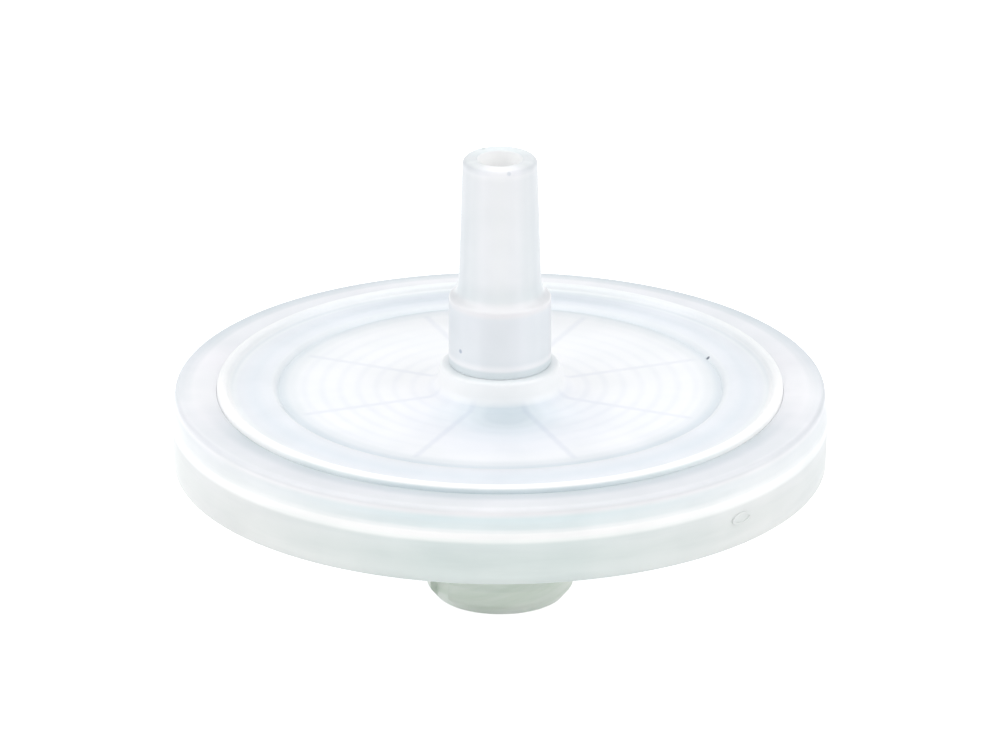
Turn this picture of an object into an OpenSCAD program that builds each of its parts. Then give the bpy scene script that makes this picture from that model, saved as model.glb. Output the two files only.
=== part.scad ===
// Syringe filter with a 35 mm disc, standing on its inlet hub with the outlet cone up.
// Z is the flow axis. Z = 0 is the end face of the inlet hub, and every length is in mm.
// Two housings clamp a membrane between their support grids, and a rim is moulded
// around both edges. The hub and the cone carry the standard 6 % syringe taper.

/* [Rim] */
// Outside diameter of the rim at its parting line
rim_d = 35; // [34.6:0.1:37]
// Height of the rim
rim_h = 4.3; // [4.2:0.1:5]
// Height of the parting line above the rim's lower face
parting_h = 2.85; // [2:0.05:3.4]
// How much the wall leans in between the parting line and either face
rim_draft = 0.1; // [0.05:0.01:0.16]
// Radius on the rim's two outer edges
rim_edge_r = 0.24; // [0.1:0.02:0.4]
// Height of the bevel that steps the wall in above the parting line
step_h = 0.34; // [0.2:0.02:0.5]
// Diameter of the gate mark on the rim's side
gate_d = 1.1; // [0.8:0.1:1.6]

/* [Housing plates] */
// Diameter of the plate that shows inside the rim
plate_d = 30.2; // [29.6:0.1:30.6]
// Height of the raised lip over the rim's face
lip_h = 0.4; // [0.25:0.05:0.6]
// Width of the raised lip
lip_w = 0.6; // [0.4:0.05:0.7]
// Height of the plate's middle over the rim's face
field_h = 0.12; // [0.05:0.01:0.2]
// Diameter of the flanges that the rim grips
flange_d = 32.6; // [32:0.1:33]
// Depth of rim moulding over each flange
flange_cover = 0.75; // [0.5:0.05:0.9]

/* [Support grid] */
// Diameter of the chamber over each grid
chamber_d = 23.4; // [23:0.1:24]
// Number of support rings in a grid
ring_count = 9; // [4:1:9]
// Distance from one ring to the next
ring_pitch = 0.966; // [0.86:0.002:0.97]
// Radius of the innermost ring
first_ring_r = 3.22; // [3:0.02:3.3]
// Height of the rings over the grid's floor
ring_h = 0.55; // [0.4:0.05:0.7]
// Number of radial channels in a grid
channel_count = 8; // [4:1:12]
// Width of a radial channel
channel_w = 0.85; // [0.5:0.05:1.1]
// Depth of a radial channel below the rings' crests
channel_depth = 0.35; // [0.2:0.05:0.38]
// Turn of the channels about the flow axis, in degrees
channel_turn = 21; // [0:1:44]

/* [Membrane] */
// Thickness of the membrane
membrane_t = 0.15; // [0.1:0.01:0.2]
// Diameter of the membrane
membrane_d = 29; // [27:0.5:29.4]

/* [Inlet hub] */
// Length of the hub below the rim
hub_len = 7.3; // [7.1:0.1:9]
// Outside diameter of the hub's barrel
barrel_d = 6.8; // [6.4:0.1:6.8]
// Diameter over the two locking lugs
lug_d = 7.85; // [7.6:0.05:7.9]
// Height of a lug at its root
lug_h = 2.1; // [1.6:0.1:2.6]
// Arc that each lug spans, in degrees
lug_span = 154; // [90:2:164]
// Diameter of the tapered socket at its mouth
socket_d = 4.3; // [4.27:0.005:4.315]
// Depth of the tapered socket
socket_depth = 7.7; // [7.5:0.1:8]
// Diameter of the hole from the socket to the inlet chamber
inlet_bore_d = 2.6; // [1.5:0.1:3]

/* [Outlet cone] */
// Height of the cone's tip over the rim
tip_h = 13.2; // [12.8:0.05:14]
// Diameter of the cone just below its rounded tip
tip_d = 4.02; // [3.93:0.01:4.03]
// Radius of the rounded edge at the tip
tip_edge_r = 0.32; // [0.1:0.02:0.4]
// Diameter of the collar at the cone's root
collar_d = 5.46; // [5.2:0.02:5.8]
// Height of the collar's top over the rim
collar_h = 5.45; // [5:0.05:6]
// Diameter of the foot under the collar
foot_d = 6.5; // [6.2:0.1:7]
// Height of the foot over the rim
foot_h = 1.52; // [1.3:0.02:1.8]
// Diameter of the outlet's hole at the tip
outlet_bore_d = 2.4; // [2:0.1:2.9]
// Diameter of the outlet's hole where it leaves the grid
outlet_bore_root_d = 2.1; // [1.5:0.1:2.4]

/* [Hidden] */
$fn = 128;
natural_pp = [0.93, 0.95, 0.96];
hub_pp = [0.8, 0.84, 0.81];
rim_pp = [0.86, 0.88, 0.87];
membrane_white = [0.97, 0.97, 0.96];

rim_r = rim_d / 2;
plate_r = plate_d / 2;
flange_r = flange_d / 2;
chamber_r = chamber_d / 2;
barrel_r = barrel_d / 2;
lug_r = lug_d / 2;
collar_r = collar_d / 2;
foot_r = foot_d / 2;

// Levels along the flow axis, from the hub's end face upwards
rim_z0 = hub_len;
rim_z1 = rim_z0 + rim_h;
parting_z = rim_z0 + parting_h;
flange_z0 = rim_z0 + flange_cover;
flange_z1 = rim_z1 - flange_cover;
membrane_z0 = (rim_z0 + rim_z1 - membrane_t) / 2;
membrane_z1 = membrane_z0 + membrane_t;
inlet_floor = membrane_z0 - ring_h;
outlet_floor = membrane_z1 + ring_h;
tip_z = rim_z1 + tip_h;
collar_z = rim_z1 + collar_h;
foot_z = rim_z1 + foot_h;

// 6 % taper: the diameter grows by 0.06 mm for each mm of length
luer = 0.03;
socket_r = socket_d / 2;
socket_end_r = socket_r - luer * socket_depth;
shoulder_h = 0.7;
cone_z0 = collar_z + shoulder_h;
cone_z1 = tip_z - tip_edge_r;
tip_r = tip_d / 2;
cone_root_r = tip_r + luer * (cone_z1 - cone_z0);

// Widths that the rings, the face of a plate and the hub share
ring_root_w = 0.5;
ring_crest_w = 0.36;
edge_break = 0.12;
lug_chamfer_w = 0.5;
lug_chamfer_h = 0.6;
boss_r = 4;
boss_h = 1.4;
lug_turn = 132;
root_fillet = 0.45;
foot_fillet = 0.8;
valley_r = 13.7;
valley_h = 0.08;
land_outer_r = 12.75;
land_inner_r = 12.1;
land_h = 0.24;
line_groove_w = 0.3;
line_groove_depth = 0.1;
step_w = 0.1;
collar_edge_r = 0.2;
collar_tuck_r = 0.35;

// The hub ends inside its boss, and the cone begins above its shoulder
hub_top_z = rim_z0 - field_h - root_fillet;
socket_top_r = socket_r - luer * hub_top_z;
outlet_bore_r = outlet_bore_d / 2;
outlet_root_r = outlet_bore_root_d / 2;
outlet_draft = (outlet_bore_r - outlet_root_r) / (tip_z - outlet_floor);
cone_bore_r = outlet_root_r + outlet_draft * (cone_z0 - outlet_floor);

// Points of an arc about [cr, cz], from angle a0 to angle a1
function arc(cr, cz, rad, a0, a1, steps = 6) =
    [for (i = [0:steps]) let (a = a0 + (a1 - a0) * i / steps) [cr + rad * cos(a), cz + rad * sin(a)]];

// The same outline with heights turned over about z
function flipped(points, z) = [for (p = points) [p[0], z - p[1]]];

// The same outline with heights counted up from z
function raised(points, z) = [for (p = points) [p[0], z + p[1]]];

// Section through the support rings, from the middle outwards
function ring_section(floor_z, crest_z) =
    [for (i = [0:ring_count - 1])
        let (r = first_ring_r + i * ring_pitch)
        each [
            [r - ring_root_w / 2, floor_z],
            [r - ring_crest_w / 2, crest_z],
            [r + ring_crest_w / 2, crest_z],
            [r + ring_root_w / 2, floor_z]
        ]
    ];

// Section through a plate's outer face, from its edge inwards to the middle field:
// a full-round lip, a shallow valley, a low land and a thin groove round the field
function face_section() =
    concat(
        arc(plate_r - lip_w / 2, lip_h - lip_w / 2, lip_w / 2, 0, 180, 8),
        [[plate_r - lip_w, lip_h - lip_w / 2 + 0.01], [plate_r - lip_w - 0.2, valley_h + 0.02]],
        [for (i = [0:4]) let (t = i / 4)
            [valley_r - (valley_r - land_outer_r) * t, valley_h + (land_h - valley_h) * (1 - cos(180 * t)) / 2]],
        [
            [land_inner_r, land_h],
            [land_inner_r - 0.1, field_h],
            [land_inner_r - 0.1 - line_groove_w / 2, field_h - line_groove_depth],
            [land_inner_r - 0.1 - line_groove_w, field_h]
        ]
    );

// Grooves that let the liquid cross the rings, cut down from the crests at crest_z.
// dir is 1 when the grid faces up and -1 when it faces down.
module channels(crest_z, dir) {
    inner_r = first_ring_r - ring_root_w - 0.1;
    channel_len = chamber_r - 0.25 - inner_r;
    for (i = [0:channel_count - 1])
        rotate(channel_turn + i * 360 / channel_count)
            translate([inner_r, -channel_w / 2, dir > 0 ? crest_z - channel_depth : crest_z - 0.5])
                cube([channel_len, channel_w, channel_depth + 0.5]);
}

// One of the two lugs that a locking ring screws over
module locking_lug() {
    slope_h = lug_h - 0.5;
    rotate(-lug_span / 2)
        rotate_extrude(angle = lug_span)
            polygon([
                [barrel_r - 0.4, 0.05],
                [barrel_r - 0.1, 0],
                [lug_r - lug_chamfer_w, 0],
                [lug_r, lug_chamfer_h],
                [lug_r, slope_h],
                [barrel_r - 0.4, lug_h + 0.3]
            ]);
}

module inlet_hub() {
    color(hub_pp) {
        rotate_extrude()
            polygon([
                [socket_r, 0],
                [socket_top_r, hub_top_z],
                [boss_r, hub_top_z],
                [boss_r, rim_z0 - boss_h],
                [boss_r - 0.2, rim_z0 - boss_h - 0.2],
                [barrel_r + 0.2, rim_z0 - boss_h - 0.2],
                [barrel_r, rim_z0 - boss_h - 0.4],
                [barrel_r, edge_break],
                [barrel_r - edge_break, 0]
            ]);
        for (side = [lug_turn, lug_turn + 180])
            rotate(side) locking_lug();
    }
}

module inlet_housing() {
    color(natural_pp)
        difference() {
            rotate_extrude()
                polygon(concat(
                    [
                        [socket_top_r, hub_top_z],
                        [socket_end_r, socket_depth],
                        [inlet_bore_d / 2, socket_depth],
                        [inlet_bore_d / 2, inlet_floor]
                    ],
                    ring_section(inlet_floor, membrane_z0),
                    [
                        [chamber_r, inlet_floor],
                        [chamber_r, membrane_z0],
                        [flange_r, membrane_z0],
                        [flange_r, flange_z0],
                        [plate_r, flange_z0]
                    ],
                    flipped(face_section(), rim_z0),
                    arc(boss_r + root_fillet, hub_top_z, root_fillet, 90, 180, 4)
                ));
            channels(membrane_z0, 1);
        }
}

module membrane() {
    color(membrane_white)
        translate([0, 0, membrane_z0])
            cylinder(d = membrane_d, h = membrane_t);
}

module outlet_housing() {
    color(natural_pp)
        difference() {
            rotate_extrude()
                polygon(concat(
                    [
                        [cone_bore_r, cone_z0],
                        [outlet_root_r, outlet_floor]
                    ],
                    ring_section(outlet_floor, membrane_z1),
                    [
                        [chamber_r, outlet_floor],
                        [chamber_r, membrane_z1],
                        [membrane_d / 2, membrane_z1],
                        [membrane_d / 2, membrane_z0],
                        [flange_r, membrane_z0],
                        [flange_r, flange_z1],
                        [plate_r, flange_z1]
                    ],
                    raised(face_section(), rim_z1),
                    arc(foot_r + foot_fillet, rim_z1 + field_h + foot_fillet, foot_fillet, 270, 180, 5),
                    arc(foot_r - edge_break, foot_z - edge_break, edge_break, 0, 90, 2),
                    arc(collar_r - collar_tuck_r, foot_z + collar_tuck_r, collar_tuck_r, 300, 360, 4),
                    arc(collar_r - collar_edge_r, collar_z - collar_edge_r, collar_edge_r, 0, 90, 4),
                    [
                        [cone_root_r + 0.12, collar_z + 0.25],
                        [cone_root_r, cone_z0]
                    ]
                ));
            channels(membrane_z1, -1);
        }
}

module outlet_cone() {
    color(natural_pp)
        rotate_extrude()
            polygon(concat(
                [
                    [outlet_bore_r, tip_z],
                    [cone_bore_r, cone_z0],
                    [cone_root_r, cone_z0]
                ],
                arc(tip_r - tip_edge_r, cone_z1, tip_edge_r, 0, 90, 5)
            ));
}

module rim_ring() {
    wall_r = rim_r - rim_draft;
    top_r = rim_r - step_w - rim_draft / 2;
    color(rim_pp) {
        rotate_extrude()
            polygon(concat(
                [
                    [plate_r, flange_z0],
                    [plate_r, rim_z0 + edge_break],
                    [plate_r + edge_break, rim_z0]
                ],
                arc(wall_r - rim_edge_r, rim_z0 + rim_edge_r, rim_edge_r, 270, 360),
                [[rim_r, parting_z], [rim_r - step_w, parting_z + step_h]],
                arc(top_r - rim_edge_r, rim_z1 - rim_edge_r, rim_edge_r, 0, 90),
                [
                    [plate_r + edge_break, rim_z1],
                    [plate_r, rim_z1 - edge_break],
                    [plate_r, flange_z1],
                    [flange_r, flange_z1],
                    [flange_r, flange_z0]
                ]
            ));
        gate_mark();
    }
}

// Witness of the gate that the rim was filled through
module gate_mark() {
    gate_turn = -43;
    gate_z = rim_z0 + 1.66;
    rotate(gate_turn)
        translate([rim_r - 0.6, 0, gate_z])
            rotate([0, 90, 0])
                cylinder(d = gate_d, h = 0.66);
}

inlet_hub();
inlet_housing();
membrane();
outlet_housing();
outlet_cone();
rim_ring();
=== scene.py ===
"""Looks of a disc syringe filter: natural polypropylene mouldings round a white membrane."""

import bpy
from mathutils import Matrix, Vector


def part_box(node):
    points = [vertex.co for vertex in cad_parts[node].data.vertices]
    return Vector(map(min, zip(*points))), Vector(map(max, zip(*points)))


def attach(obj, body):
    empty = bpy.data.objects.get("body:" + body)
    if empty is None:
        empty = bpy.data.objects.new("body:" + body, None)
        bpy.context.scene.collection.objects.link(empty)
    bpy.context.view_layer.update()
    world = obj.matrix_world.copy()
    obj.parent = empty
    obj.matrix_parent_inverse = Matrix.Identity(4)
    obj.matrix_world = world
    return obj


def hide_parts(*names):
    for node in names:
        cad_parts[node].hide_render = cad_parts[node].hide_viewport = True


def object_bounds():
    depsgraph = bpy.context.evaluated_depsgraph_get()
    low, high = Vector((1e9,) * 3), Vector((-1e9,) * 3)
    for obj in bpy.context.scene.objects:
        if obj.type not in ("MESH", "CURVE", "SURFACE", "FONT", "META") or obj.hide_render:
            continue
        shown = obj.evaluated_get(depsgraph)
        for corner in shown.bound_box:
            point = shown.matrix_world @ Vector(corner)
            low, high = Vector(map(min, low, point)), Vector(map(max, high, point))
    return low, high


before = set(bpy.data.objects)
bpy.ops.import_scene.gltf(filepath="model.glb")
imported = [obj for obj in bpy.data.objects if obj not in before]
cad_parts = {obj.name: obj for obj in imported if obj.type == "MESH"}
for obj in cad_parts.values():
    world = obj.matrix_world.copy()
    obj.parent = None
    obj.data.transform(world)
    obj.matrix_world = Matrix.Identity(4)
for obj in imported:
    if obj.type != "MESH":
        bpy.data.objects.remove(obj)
cad_box = [list(corner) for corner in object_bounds()]

import math

import bpy
from mathutils import Vector

MM = 0.001

# Places that the frame gives, in mm
rim_low, rim_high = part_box("rim_ring")
RIM_BOTTOM = rim_low.z / MM
RIM_TOP = rim_high.z / MM
RIM_R = rim_high.y / MM
TIP_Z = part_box("outlet_cone")[1].z / MM

# Camera
VIEW_ELEVATION = math.radians(21.5)
CAMERA_DISTANCE = 1500 * MM
CLIP_START = 10 * MM
VIEW_WIDTH = 53.3 * MM
SENSOR_WIDTH = 36.0

# Light from all round, and square softboxes: name, place and side in metres, power in watts
WORLD_LIGHT = 0.68
SOFTBOX_SIDE = 0.5
SOFTBOXES = [
    ("left softbox", (-0.5, -0.1, 0.35), 1.05),
    ("right softbox", (0.5, -0.1, 0.35), 1.05),
    ("top softbox", (0.0, 0.0, 0.55), 0.65),
    ("front softbox", (0.0, -0.6, 0.3), 0.3),
]

# Bench top: its side in metres, and how far it is lifted to white for what shows it
BENCH_SIDE = 1.6
BENCH_LIFT = 0.7

# Colours, as sRGB hex; the groove shade and the grid line are painted shade
DEPTH_TINT = "C8E0D6"
GROOVE_SHADE = "C4CEDA"
PAINTED_GRID_LINE = "F5F6F9"
BORDER_WHITE = "F8FAFC"
BENCH_WHITE = "F2F2F2"

# Polypropylene: refraction, and absorption per metre
PP_IOR = 1.49
PP_ABSORPTION = 15.0

# Patterns, in mm. Haze and flow streaks have their real size. The skin's grain and the membrane's pores are
# really a few micrometres and less, too fine to show, so they are drawn as coarse as they need to show.
HAZE = 3
HUB_STREAK = 0.55
HUB_STREAK_CLIMB = -0.25
RIM_STREAK = 0.7
STREAK_SHORTENING = 0.12
GRAIN = 0.5
GRAIN_DEPTH = 0.03
PORE = 0.12
PORE_DEPTH = 0.01

# Settings of a node that lays one colour over another, or multiplies the two
BLEND = {"data_type": "RGBA"}
MULTIPLY = {"data_type": "RGBA", "blend_type": "MULTIPLY"}
MULTIPLY_ALL = {**MULTIPLY, 0: 1.0}

# Modelling: steps round a turned piece, the sharpest bend in degrees that shades smooth, and the share of a
# face's normal along an axis from which the face counts as square to it
TURN_STEPS = 240
SMOOTH_ANGLE = 32
SQUARE = 0.9

# Modelling, in mm: the gap that parts two mouldings, how close points merge, and how far a cutter overshoots
GAP = 0.01
MERGE = 0.001
OVERCUT = 0.5

# Sizes of the disc, in mm; heights of its faces are over the rim's
PLATE_R = 15.1
LIP_W = 0.6
LIP_H = 0.4
VALLEY_R = 13.7
VALLEY_H = 0.08
LAND_OUTER_R = 12.75
LAND_INNER_R = 12.1
LAND_H = 0.24
GROOVE_R = LAND_INNER_R - 0.25
FIELD_H = 0.12
FLANGE_R = 16.3
FLANGE_COVER = 0.75
FLANGE_EDGE_W = 0.12
FLANGE_EDGE_H = 0.14
CHAMBER_R = 11.7
CHAMBER_EDGE = 0.1
RING_COUNT = 9
RING_PITCH = 0.966
FIRST_RING_R = 3.22
RING_H = 0.55
RING_ROOT_W = 0.5
RING_CREST_W = 0.36
RING_FOOT_OUT = 0.05
RING_FOOT_IN = 0.01
RING_BREAK = 0.06
RING_BREAK_SHARE = 0.12
CHANNEL_COUNT = 8
CHANNEL_W = 0.85
CHANNEL_DEPTH = 0.35
CHANNEL_TURN = 21
CHANNEL_INNER_R = FIRST_RING_R - RING_ROOT_W - 0.1
CHANNEL_OUTER_R = CHAMBER_R - 0.25
MEMBRANE_T = 0.15
MEMBRANE_R = 14.5
MEMBRANE_EDGE = 0.04
MEMBRANE_CROWN = 1.2

# Sizes of the outlet, in mm
TIP_R = 2.01
TIP_EDGE_R = 0.32
TIP_BORE_R = 1.2
ROOT_BORE_R = 1.05
BORE_EDGE_R = 0.1
BORE_FLARE = 0.35
TAPER = 0.03
COLLAR_R = 2.73
COLLAR_H = 5.45
COLLAR_EDGE_R = 0.2
COLLAR_TUCK_R = 0.2
SHOULDER_H = 0.7
FOOT_R = 3.25
FOOT_H = 1.52
FOOT_EDGE_R = 0.2
FOOT_DRAFT = 0.05
FOOT_FILLET_R = 0.8

# Specks in the outlet moulding: the radius of a core and of its soft edge, and each one's place in mm across,
# towards the back and over the rim's upper face, with its colour
SPECK_CORE_R = 0.06
SPECK_EDGE_R = 0.16
SPECKS = [
    (11.1, 4.3, 0.1, "6A7482"),
    (-2.1, -1.74, 2.84, "C8CEDA"),
    (0.48, -1.92, 13.03, "EAEDF0"),
    (-0.9, 1.36, 13.2, "E4E7E7"),
]

# Sizes of the inlet hub, in mm
BARREL_R = 3.4
LUG_R = 3.925
LUG_H = 2.1
LUG_CHAMFER_W = 0.5
LUG_CHAMFER_H = 0.6
LUG_SLOPE_H = 0.75
LUG_EDGE_R = 0.25
LUG_GAP = 26
LUG_GAP_TURN = 32
LUG_GAP_DEPTH = 2
LUG_GAP_OVERCUT = 0.4
BOSS_R = 4.0
BOSS_H = 1.4
BOSS_EDGE = 0.2
BOSS_FILLET_R = 0.45
SOCKET_R = 2.15
SOCKET_DEPTH = 7.7
INLET_BORE_R = 1.3

# Sizes of the rim, in mm
RIM_EDGE_R = 0.24
RIM_DRAFT = 0.1
STEP_W = 0.1
STEP_H = 0.34
STEP_EDGE_W = 0.015
STEP_EDGE_H = 0.06
PARTING_H = 2.85
INNER_EDGE = 0.05
GATE_TURN = -43
GATE_W = 1.4
GATE_L = 0.65
GATE_PROUD = 0.04
GATE_DEPTH = 0.33
GATE_H = 1.66
GATE_LIP = 0.12
GATE_DISH = 0.04


def linear_from_hex(code):
    """Linear RGBA of an sRGB hex colour."""
    values = [int(code[i:i + 2], 16) / 255 for i in (0, 2, 4)]
    linear = [v / 12.92 if v <= 0.04045 else ((v + 0.055) / 1.055) ** 2.4 for v in values]
    return (*linear, 1.0)


# ---------------------------------------------------------------- sections

def arc(centre_r, centre_z, radius, start, end, steps=6):
    """Points of an arc in a section, from one angle in degrees to another."""
    angles = [math.radians(start + (end - start) * i / steps) for i in range(steps + 1)]
    return [(centre_r + radius * math.cos(a), centre_z + radius * math.sin(a)) for a in angles]


def flipped(section, about):
    """A section turned over, with its heights counted down from a level."""
    return [(r, about - z) for r, z in section]


def raised(section, by):
    """A section with its heights counted up from a level."""
    return [(r, by + z) for r, z in section]


def ring_section(floor_z, crest_z):
    """Section through the support rings, from the middle outwards, with broken edges."""
    slope = (crest_z - floor_z) * RING_BREAK_SHARE
    points = []
    for i in range(RING_COUNT):
        r = FIRST_RING_R + i * RING_PITCH
        points += [
            (r - RING_ROOT_W / 2 - RING_FOOT_OUT, floor_z),
            (r - RING_ROOT_W / 2 + RING_FOOT_IN, floor_z + slope),
            (r - RING_CREST_W / 2, crest_z - slope),
            (r - RING_CREST_W / 2 + RING_BREAK, crest_z),
            (r + RING_CREST_W / 2 - RING_BREAK, crest_z),
            (r + RING_CREST_W / 2, crest_z - slope),
            (r + RING_ROOT_W / 2 - RING_FOOT_IN, floor_z + slope),
            (r + RING_ROOT_W / 2 + RING_FOOT_OUT, floor_z),
        ]
    return points


def face_section():
    """Section of a plate's outer face, from the middle field out to its edge.

    A thin groove round the field, a low land, a shallow valley and a full-round lip."""
    shares = [i / 8 for i in range(9)]
    slope = [
        (LAND_OUTER_R + (VALLEY_R - LAND_OUTER_R) * t,
         LAND_H + (VALLEY_H - LAND_H) * (1 - math.cos(math.pi * t)) / 2)
        for t in shares
    ]
    return [
        (GROOVE_R - 0.2, FIELD_H),
        (GROOVE_R - 0.08, FIELD_H - 0.06),
        (GROOVE_R, FIELD_H - 0.1),
        (GROOVE_R + 0.08, FIELD_H - 0.04),
        (LAND_INNER_R - 0.04, LAND_H - 0.03),
        (LAND_INNER_R + 0.06, LAND_H),
        *slope,
        (PLATE_R - LIP_W - 0.2, VALLEY_H + 0.02),
        (PLATE_R - LIP_W - 0.03, VALLEY_H + 0.06),
        *arc(PLATE_R - LIP_W / 2, LIP_H - LIP_W / 2, LIP_W / 2, 165, 0, 10),
    ]


# ---------------------------------------------------------------- modelling

def select_only(piece):
    """Object mode, with one piece selected."""
    if bpy.context.object and bpy.context.object.mode != "OBJECT":
        bpy.ops.object.mode_set(mode="OBJECT")
    bpy.ops.object.select_all(action="DESELECT")
    piece.select_set(True)
    bpy.context.view_layer.objects.active = piece


def start_piece(name):
    """Names the primitive just added, puts its place in its mesh and opens it for editing."""
    piece = bpy.context.object
    piece.name = piece.data.name = name
    bpy.ops.object.transform_apply(location=True, rotation=True, scale=True)
    bpy.ops.object.mode_set(mode="EDIT")
    bpy.ops.mesh.select_all(action="SELECT")
    return piece


def close_piece(piece):
    """Merges doubles, turns every face outwards and leaves edit mode."""
    bpy.ops.mesh.select_all(action="SELECT")
    bpy.ops.mesh.remove_doubles(threshold=MERGE * MM)
    bpy.ops.mesh.normals_make_consistent(inside=False)
    bpy.ops.object.mode_set(mode="OBJECT")
    return piece


def turned(name, section):
    """A turned solid: one circle, extruded and scaled along its closed section, then bridged shut."""
    bpy.ops.object.select_all(action="DESELECT")
    (r, z), *rest = section
    bpy.ops.mesh.primitive_circle_add(vertices=TURN_STEPS, radius=r * MM, location=(0, 0, z * MM))
    piece = start_piece(name)
    for next_r, next_z in rest:
        bpy.ops.mesh.extrude_edges_move(TRANSFORM_OT_translate={"value": (0, 0, (next_z - z) * MM)})
        if next_r != r:
            bpy.ops.transform.resize(value=(next_r / r, next_r / r, 1), center_override=(0, 0, next_z * MM))
        r, z = next_r, next_z
    bpy.ops.mesh.select_all(action="DESELECT")
    bpy.ops.mesh.select_non_manifold(
        extend=False, use_wire=False, use_multi_face=False, use_non_contiguous=False, use_verts=False)
    bpy.ops.mesh.bridge_edge_loops()
    return close_piece(piece)


def cut(piece, cutter, operation="DIFFERENCE"):
    """Takes a cutter out of a piece, or joins it on, and removes the cutter."""
    select_only(piece)
    step = piece.modifiers.new("cut", "BOOLEAN")
    step.operation = operation
    step.solver = "EXACT"
    step.object = cutter
    bpy.ops.object.modifier_apply(modifier=step.name)
    bpy.data.objects.remove(cutter)


def smooth(piece):
    """Smooth shading, except across the real edges."""
    select_only(piece)
    bpy.ops.object.shade_smooth_by_angle(angle=math.radians(SMOOTH_ANGLE))


def channel_cutter(low_z, high_z):
    """One bar for each radial channel: modelled once, then copied round the axis."""
    bpy.ops.object.select_all(action="DESELECT")
    bpy.ops.mesh.primitive_cube_add(
        size=1, location=((CHANNEL_INNER_R + CHANNEL_OUTER_R) / 2 * MM, 0, (low_z + high_z) / 2 * MM),
        scale=((CHANNEL_OUTER_R - CHANNEL_INNER_R) * MM, CHANNEL_W * MM, (high_z - low_z) * MM))
    cutter = start_piece("channel_cutter")
    turn_selected(CHANNEL_TURN)
    for _ in range(CHANNEL_COUNT - 1):
        bpy.ops.mesh.duplicate()
        turn_selected(360 / CHANNEL_COUNT)
    bpy.ops.object.mode_set(mode="OBJECT")
    return cutter


def turn_selected(degrees):
    """Turns what is selected in edit mode about the flow axis, anticlockwise from above."""
    bpy.ops.transform.rotate(value=-math.radians(degrees), orient_axis="Z", center_override=(0, 0, 0))


def replace_nodes(piece, slot, *nodes):
    """The piece rides on the one body and stands for CAD nodes."""
    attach(piece, "root")
    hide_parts(*nodes)


def make_outlet_moulding(top):
    """Outlet plate, support grid, foot, collar and cone in one moulding."""
    crest = (top + RIM_BOTTOM + MEMBRANE_T) / 2
    floor = crest + RING_H
    tip_edge_z = TIP_Z - TIP_EDGE_R
    collar_top = top + COLLAR_H
    cone_foot = collar_top + SHOULDER_H
    cone_foot_r = TIP_R + TAPER * (tip_edge_z - cone_foot)
    foot_top = top + FOOT_H
    section = [
        # bore
        (ROOT_BORE_R + BORE_FLARE, floor),
        (ROOT_BORE_R, floor + BORE_FLARE),
        (TIP_BORE_R, TIP_Z - BORE_EDGE_R),
        *arc(TIP_BORE_R + BORE_EDGE_R, TIP_Z - BORE_EDGE_R, BORE_EDGE_R, 180, 90, 3),
        # tip and cone, which runs out in a hollow shoulder
        *arc(TIP_R - TIP_EDGE_R, tip_edge_z, TIP_EDGE_R, 90, 0, 8),
        (cone_foot_r, cone_foot + 0.1),
        (cone_foot_r + 0.03, cone_foot - 0.1),
        (cone_foot_r + 0.1, collar_top + 0.3),
        (cone_foot_r + 0.2, collar_top + 0.1),
        # collar, foot and the plate's face
        *arc(COLLAR_R - COLLAR_EDGE_R, collar_top - COLLAR_EDGE_R, COLLAR_EDGE_R, 75, 0, 5),
        *arc(COLLAR_R - COLLAR_TUCK_R, foot_top + COLLAR_TUCK_R, COLLAR_TUCK_R, 0, -60, 5),
        *arc(FOOT_R - FOOT_DRAFT - FOOT_EDGE_R, foot_top - FOOT_EDGE_R, FOOT_EDGE_R, 90, 0, 5),
        *arc(FOOT_R + FOOT_DRAFT + FOOT_FILLET_R, top + FIELD_H + FOOT_FILLET_R, FOOT_FILLET_R, 180, 270, 10),
        *raised(face_section(), top),
        # flange under the rim, and the membrane's seat
        (PLATE_R, top - FLANGE_COVER - GAP),
        (FLANGE_R - FLANGE_EDGE_W, top - FLANGE_COVER - GAP),
        (FLANGE_R - GAP, top - FLANGE_COVER - FLANGE_EDGE_H),
        (FLANGE_R - GAP, crest - MEMBRANE_T + GAP / 2),
        (MEMBRANE_R + GAP, crest - MEMBRANE_T + GAP / 2),
        (MEMBRANE_R + GAP, crest),
        # chamber with its rings
        (CHAMBER_R, crest),
        (CHAMBER_R, floor - CHAMBER_EDGE),
        (CHAMBER_R - CHAMBER_EDGE, floor),
        *reversed(ring_section(floor, crest)),
    ]
    piece = turned("outlet_moulding", section)
    cut(piece, channel_cutter(crest - OVERCUT, crest + CHANNEL_DEPTH))
    smooth(piece)
    replace_nodes(piece, "outlet_housing", "outlet_housing", "outlet_cone")
    return piece


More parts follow.
